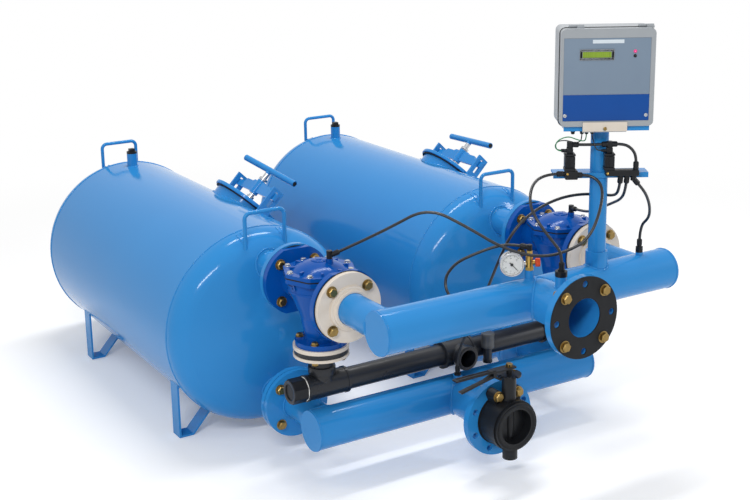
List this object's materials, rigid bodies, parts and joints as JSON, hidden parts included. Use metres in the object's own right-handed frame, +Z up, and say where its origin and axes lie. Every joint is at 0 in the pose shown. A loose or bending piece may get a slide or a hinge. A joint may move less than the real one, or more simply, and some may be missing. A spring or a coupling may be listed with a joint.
{
  "type": "irrigation filter",
  "caption": "Twin lying-tank media filter for irrigation, with backwash valves, headers, a control box on a post and a lever valve.",
  "frame": {"origin": "centre of the footprint of the filter on the floor, without the control tubes and wires", "axes": "+X along the headers, +Y along the tanks to their rear heads, +Z up; the manifold side faces -Y"},
  "size_m": [1.4715, 2.1354, 1.2555],
  "materials": {
    "blue_paint": "semi-gloss enamel",
    "valve_paint": "gloss epoxy",
    "zinc": "yellow zinc plate",
    "bright_steel": "bright",
    "black_plastic": "matte",
    "pipe_plastic": "satin",
    "beige_ring": "gloss",
    "seal": "matte",
    "diaphragm": "matte",
    "box_grey": "satin",
    "board": "solder mask",
    "brass": "machined",
    "gauge_steel": "polished",
    "needle": "matte",
    "orange": "matte",
    "tube": "satin",
    "green_wire": "satin",
    "media": "sand",
    "inner_plastic": "matte",
    "disc_metal": "coated"
  },
  "bodies": {
    "frame": {"tank_1_vessel": "blue_paint", "tank_2_vessel": "blue_paint", "tank_legs": "blue_paint", "tank_handles": "blue_paint", "tank_nozzles": "blue_paint", "tank_1_neck": "blue_paint", "tank_2_neck": "blue_paint", "tank_1_lid": "blue_paint", "tank_2_lid": "blue_paint", "tank_1_bridge": "blue_paint", "tank_2_bridge": "blue_paint", "lid_gaskets": "seal", "underdrains": "inner_plastic", "media_beds": "media", "valve_1_body": "valve_paint", "valve_2_body": "valve_paint", "valve_1_bonnet": "valve_paint", "valve_2_bonnet": "valve_paint", "valve_1_diaphragm": "diaphragm", "valve_2_diaphragm": "diaphragm", "bonnet_screws": "bright_steel", "inlet_header": "blue_paint", "outlet_header": "blue_paint", "backwash_pipe": "pipe_plastic", "flange_rings": "beige_ring", "flange_gaskets": "seal", "flange_bolts": "zinc", "plugs": "black_plastic", "butterfly_body": "black_plastic", "controller_post": "blue_paint", "controller_box": "box_grey", "controller_board": "board", "solenoid_1": "black_plastic", "solenoid_2": "black_plastic", "gauge_body": "gauge_steel", "gauge_cock": "brass", "tube_fittings": "black_plastic", "tube_1": "tube", "tube_2": "tube", "tube_3": "tube", "tube_4": "tube", "tube_5": "tube", "tube_6": "tube", "tube_7": "tube", "tube_8": "tube", "wire_1_green": "green_wire", "wire_1_black": "tube", "wire_2_black": "tube"},
    "pad_1": {"tank_1_clamp_pad": "bright_steel"},
    "screw_1": {"tank_1_clamp_screw": "bright_steel"},
    "pad_2": {"tank_2_clamp_pad": "bright_steel"},
    "screw_2": {"tank_2_clamp_screw": "bright_steel"},
    "plug_1": {"valve_1_plug": "brass"},
    "plug_2": {"valve_2_plug": "brass"},
    "butterfly": {"butterfly_disc": "disc_metal", "butterfly_lever": "black_plastic"},
    "trigger": {"butterfly_trigger": "black_plastic"},
    "needle": {"gauge_needle": "needle"},
    "cock_knob": {"gauge_knob": "orange"},
    "cover": {"controller_cover": "box_grey"}
  },
  "joints": [
    {"name": "pad_1_lift", "type": "slide", "parent": "frame", "child": "pad_1", "axis": [0.6947, 0, 0.7193], "range_m": [0, 0.009]},
    {"name": "screw_1_turn", "type": "hinge", "parent": "pad_1", "child": "screw_1", "pos_m": [-0.15797, 0.40875, 0.62374], "axis": [0.6947, 0, 0.7193], "range_deg": [0, 810]},
    {"name": "valve_1_stroke", "type": "slide", "parent": "frame", "child": "plug_1", "axis": [0, 0, 1], "range_m": [0, 0.016], "deforming": ["valve_1_diaphragm"]},
    {"name": "pad_2_lift", "type": "slide", "parent": "frame", "child": "pad_2", "axis": [0.6947, 0, 0.7193], "range_m": [0, 0.009]},
    {"name": "screw_2_turn", "type": "hinge", "parent": "pad_2", "child": "screw_2", "pos_m": [0.68203, 0.40875, 0.62374], "axis": [0.6947, 0, 0.7193], "range_deg": [0, 810]},
    {"name": "valve_2_stroke", "type": "slide", "parent": "frame", "child": "plug_2", "axis": [0, 0, 1], "range_m": [0, 0.016], "deforming": ["valve_2_diaphragm"]},
    {"name": "butterfly_turn", "type": "hinge", "parent": "frame", "child": "butterfly", "pos_m": [-0.00983, -0.78675, 0.322], "axis": [0, 0, 1], "range_deg": [0, 90]},
    {"name": "trigger_squeeze", "type": "hinge", "parent": "butterfly", "child": "trigger", "pos_m": [-0.06583, -0.78675, 0.312], "axis": [0, 1, 0], "range_deg": [0, 9], "stiffness_Nm_per_rad": 0.3},
    {"name": "gauge_swing", "type": "hinge", "parent": "frame", "child": "needle", "pos_m": [-0.05016, -0.8449, 0.639], "axis": [0.521, 0.8536, 0], "range_deg": [0, 270], "stiffness_Nm_per_rad": 0.001},
    {"name": "cock_turn", "type": "hinge", "parent": "frame", "child": "cock_knob", "pos_m": [0.00883, -0.86919, 0.642], "axis": [0.8536, -0.521, 0], "range_deg": [0, 90]},
    {"name": "cover_swing", "type": "hinge", "parent": "frame", "child": "cover", "pos_m": [0.2132, -0.89333, 1.2515], "axis": [-0.8536, 0.521, 0], "range_deg": [0, 105]}
  ],
  "couplings": [
    {"joint": "pad_1_lift", "follows": "screw_1_turn", "m_per_rad": 0.00063662},
    {"joint": "pad_2_lift", "follows": "screw_2_turn", "m_per_rad": 0.00063662}
  ]
}
